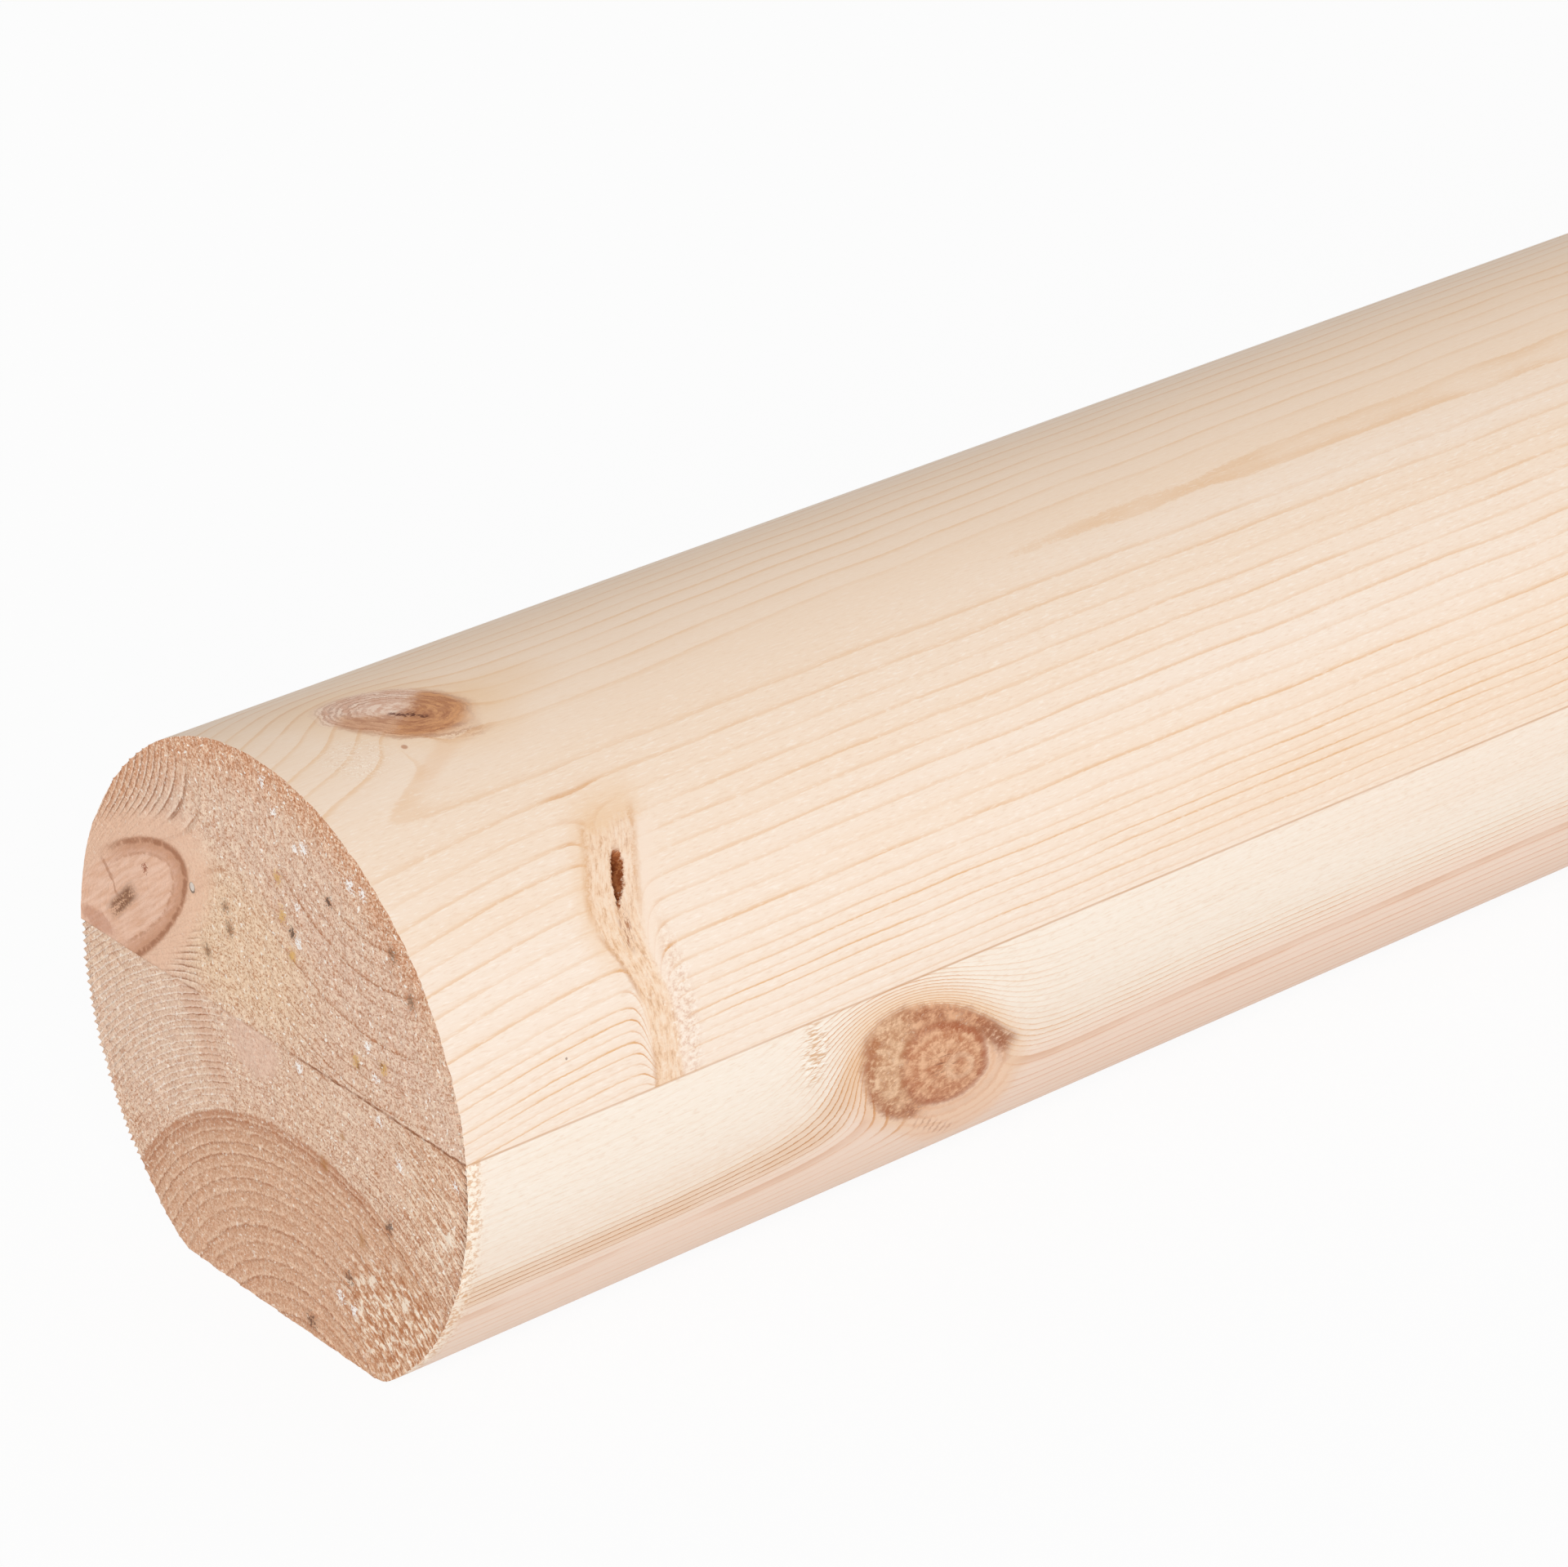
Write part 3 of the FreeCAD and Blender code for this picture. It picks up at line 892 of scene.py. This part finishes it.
def mark_upper_end(colour, grain):
    """The end knot: an open horseshoe of brown skin with a torn pith. Resin with a painted highlight on it,
    chips and dirt lie about.
    """
    place, coarse, fine = grain.place, grain.coarse, grain.fine
    knot = grain.knots["end"]
    near_end = fade(grain.along, 60, 30)
    ragged = knot + 0.12 * (coarse - 0.5)
    lengthways = joined(0.78 * grain.near + 0.62 * grain.up, 0.78 * grain.up - 0.62 * grain.near, grain.along)
    streak = speckle(lengthways, (0.3, 2.4, 0.3), 3.0)
    inner = fade(streak, 0.3, 0.75).mix(tone(242, 202, 178), tone(228, 180, 150))
    colour = (fade(ragged, 1.0, 0.75) * near_end).mix(colour, inner)
    shown = fade(grain.near, -27, -20) * near_end
    skin = band(ragged, 0.6, 0.88, 0.98, 1.1) * shown
    colour = (skin * (0.45 + 0.3 * fine)).mix(colour, tone(190, 128, 92))
    outline = fade(abs(ragged - 0.98), 0.09, 0.02) * fade(coarse, 0.3, 0.55) * shown
    colour = (outline * 0.6).mix(colour, tone(146, 88, 54))
    inward = fade(abs(knot - 0.72 + 0.16 * (coarse - 0.5)), 0.05, 0.01)
    inward = inward * fade(coarse, 0.35, 0.6) * shown
    colour = (inward * 0.4).mix(colour, tone(170, 108, 72))
    pith = stroke(place, (0, -24.4, 32.4), (0, -20.6, 36.2), 1.2) * near_end
    colour = (pith * fade(fine + streak, 1.25, 0.95) * 0.85).mix(colour, tone(120, 70, 36))
    colour = (pith * fade(fine, 0.5, 0.7) * 0.6).mix(colour, tone(214, 166, 116))
    wander = joined(grain.along, grain.near + 1.2 * (coarse - 0.5), grain.up)
    twig = stroke(wander, (0, -25.6, 37.6), (0, -24.2, 36.2), 0.4)
    twig = twig + stroke(wander, (0, -24.2, 36.2), (0, -23.4, 34.6), 0.3)
    colour = (twig * near_end * 0.5).mix(colour, tone(166, 106, 72))
    smudge = fade(within(place, (0, -27.0, 30.4), (12, 3.6, 1.5)) + 0.9 * (coarse - 0.5), 0.0, 0.5)
    colour = (smudge * 0.5).mix(colour, tone(188, 128, 102))
    colour = spots(colour, grain, tone(150, 78, 48), 0.9, [(-18.4, 39.4, 0.6)])
    resin = fade(within(place, (0, -10.7, 40.5), (12, 0.5, 0.62)), 0.0, 0.2)
    colour = resin.mix(colour, tone(150, 128, 112))
    # A painted highlight on the resin drop.
    painted_glint = fade(within(place, (0, -10.7, 40.6), (12, 0.38, 0.48)), 0.0, 0.2)
    colour = painted_glint.mix(colour, tone(226, 212, 200))
    whites = [
        (1.3, 56.0, 0.6), (2.9, 53.6, 0.6), (7.3, 51.6, 0.8), (6.0, 51.2, 0.5), (14.2, 50.9, 0.8),
        (16.0, 50.7, 0.6), (5.9, 45.2, 0.5), (16.75, 32.5, 0.6), (15.7, 35.2, 0.6), (5.7, 41.5, 0.7)]
    colour = spots(colour, grain, tone(255, 252, 248), 0.9, whites)
    colour = spots(colour, grain, tone(66, 40, 24), 0.85, [(10.8, 47.7, 0.6), (4.9, 42.2, 0.6)])
    yellows = [(3.4, 43.4, 0.9), (4.7, 39.8, 0.8), (2.9, 47.0, 0.8), (13.8, 32.9, 0.8), (18.0, 34.0, 0.8)]
    colour = spots(colour, grain, tone(216, 168, 88), 0.8, yellows)
    colour = spots(colour, grain, tone(146, 92, 44), 0.8, [(14.1, 32.6, 0.4), (17.7, 34.2, 0.4)])
    olives = [(20.1, 46.4, 0.9), (22.6, 42.7, 0.9), (-5.0, 38.6, 0.9), (-9.0, 34.6, 0.8), (-5.6, 40.6, 0.7)]
    return spots(colour, grain, tone(112, 68, 26), 0.7, olives)


upper_planed = planed_pine(
    "planed_pine", upper_board, tone(247, 229, 212), tone(245, 220, 195), tone(230, 182, 132),
    dress_upper_side)
upper_sawn = sawn_pine(
    "sawn_pine", upper_board, tone(233, 200, 175), tone(174, 110, 70), ground_upper_end, mark_upper_end)
upper_lamella = moulded_board(
    "planed_upper_lamella", upper_outline, upper_board, (upper_planed, upper_sawn), upper_chips, shake_loops,
    hollow_shake)
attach(upper_lamella, "root")
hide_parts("upper_lamella")


# The floor is one wide sheet of pale card that the rail lies on. To the eye it glows nearly white, and the
# rest of its look is plain matte card, which keeps the rail's own soft shadow.
floor_reach = 6.0
lit_share = 0.92
sheet = bmesh.new()
bmesh.ops.create_grid(sheet, x_segments=1, y_segments=1, size=floor_reach)
floor_mesh = bpy.data.meshes.new("floor")
sheet.to_mesh(floor_mesh)
sheet.free()
floor = bpy.data.objects.new("floor", floor_mesh)
bpy.context.scene.collection.objects.link(floor)
floor_material = bpy.data.materials.new("floor_white")
floor_material.use_nodes = True
floor_tree = floor_material.node_tree
floor_tree.nodes.clear()
on_floor = Shade(floor_tree)
plain = on_floor.node("BsdfDiffuse", {}, {"Color": tone(240, 240, 240)}, "BSDF")
glow = on_floor.node("Emission", {}, {"Color": (1, 1, 1, 1), "Strength": 1.0}, "Emission")
seen = on_floor.node("LightPath", {}, {}, "Is Camera Ray")
mirrored = on_floor.node("LightPath", {}, {}, "Is Glossy Ray")
sockets = {"Fac": (seen + mirrored) * lit_share, "Shader": plain, "Shader_001": glow}
shown = on_floor.node("MixShader", {}, sockets, "Shader")
floor_end = floor_tree.nodes.new("ShaderNodeOutputMaterial")
floor_tree.links.new(shown.socket, floor_end.inputs["Surface"])
floor_mesh.materials.append(floor_material)


# The light is a pale room, white to the eye, with one broad soft lamp in front of the rail, above its near
# side, and a weaker one behind it.
world = bpy.data.worlds.new("room")
bpy.context.scene.world = world
world.use_nodes = True
world.node_tree.nodes.clear()
in_room = Shade(world.node_tree)
room_light = in_room.node("Background", {}, {"Color": (1, 1, 1, 1), "Strength": 0.5}, "Background")
room_seen = in_room.node("Background", {}, {"Color": (1, 1, 1, 1), "Strength": 1.0}, "Background")
looked_at = in_room.node("LightPath", {}, {}, "Is Camera Ray")
sockets = {"Fac": looked_at, "Shader": room_light, "Shader_001": room_seen}
room = in_room.node("MixShader", {}, sockets, "Shader")
room_end = world.node_tree.nodes.new("ShaderNodeOutputWorld")
world.node_tree.links.new(room.socket, room_end.inputs["Surface"])


def soft_lamp(name, place, aim, size, power):
    """A round lamp that faces a point: its place, aim and width in metres, and its power in watts."""
    light = bpy.data.lights.new(name, "AREA")
    light.shape = "DISK"
    light.size = size
    light.energy = power
    lamp = bpy.data.objects.new(name, light)
    bpy.context.scene.collection.objects.link(lamp)
    lamp.location = place
    lamp.rotation_euler = (Vector(aim) - Vector(place)).to_track_quat("-Z", "Y").to_euler()


soft_lamp("front_lamp", (-3.0, -2.8, 1.9), (-0.5, 0, 0.03), 2.6, 106)
soft_lamp("back_lamp", (1.2, 3.0, 2.4), (0, 0, 0.03), 2.6, 16)


# The camera looks down on the near end from in front of the rail and to its left, through a long lens. Its
# place is given from the near end, at the level of the oval's middle, and its frame is about square.
view = bpy.data.cameras.new("camera")
view.sensor_fit = "HORIZONTAL"
view.sensor_width = 36.0
view.lens = 149.38
view.clip_start = 0.01
camera = bpy.data.objects.new("camera", view)
bpy.context.scene.collection.objects.link(camera)
eye = Vector((rail_start - 0.28663, -0.42693, oval_height + 0.29362))
right = Vector((0.77174, -0.63583, -0.01170))
upward = Vector((0.30089, 0.34887, 0.88756))
back = right.cross(upward)
camera.matrix_world = Matrix.Translation(eye) @ Matrix((right, upward, back)).transposed().to_4x4()
bpy.context.scene.camera = camera
bpy.context.scene.view_settings.view_transform = "Standard"
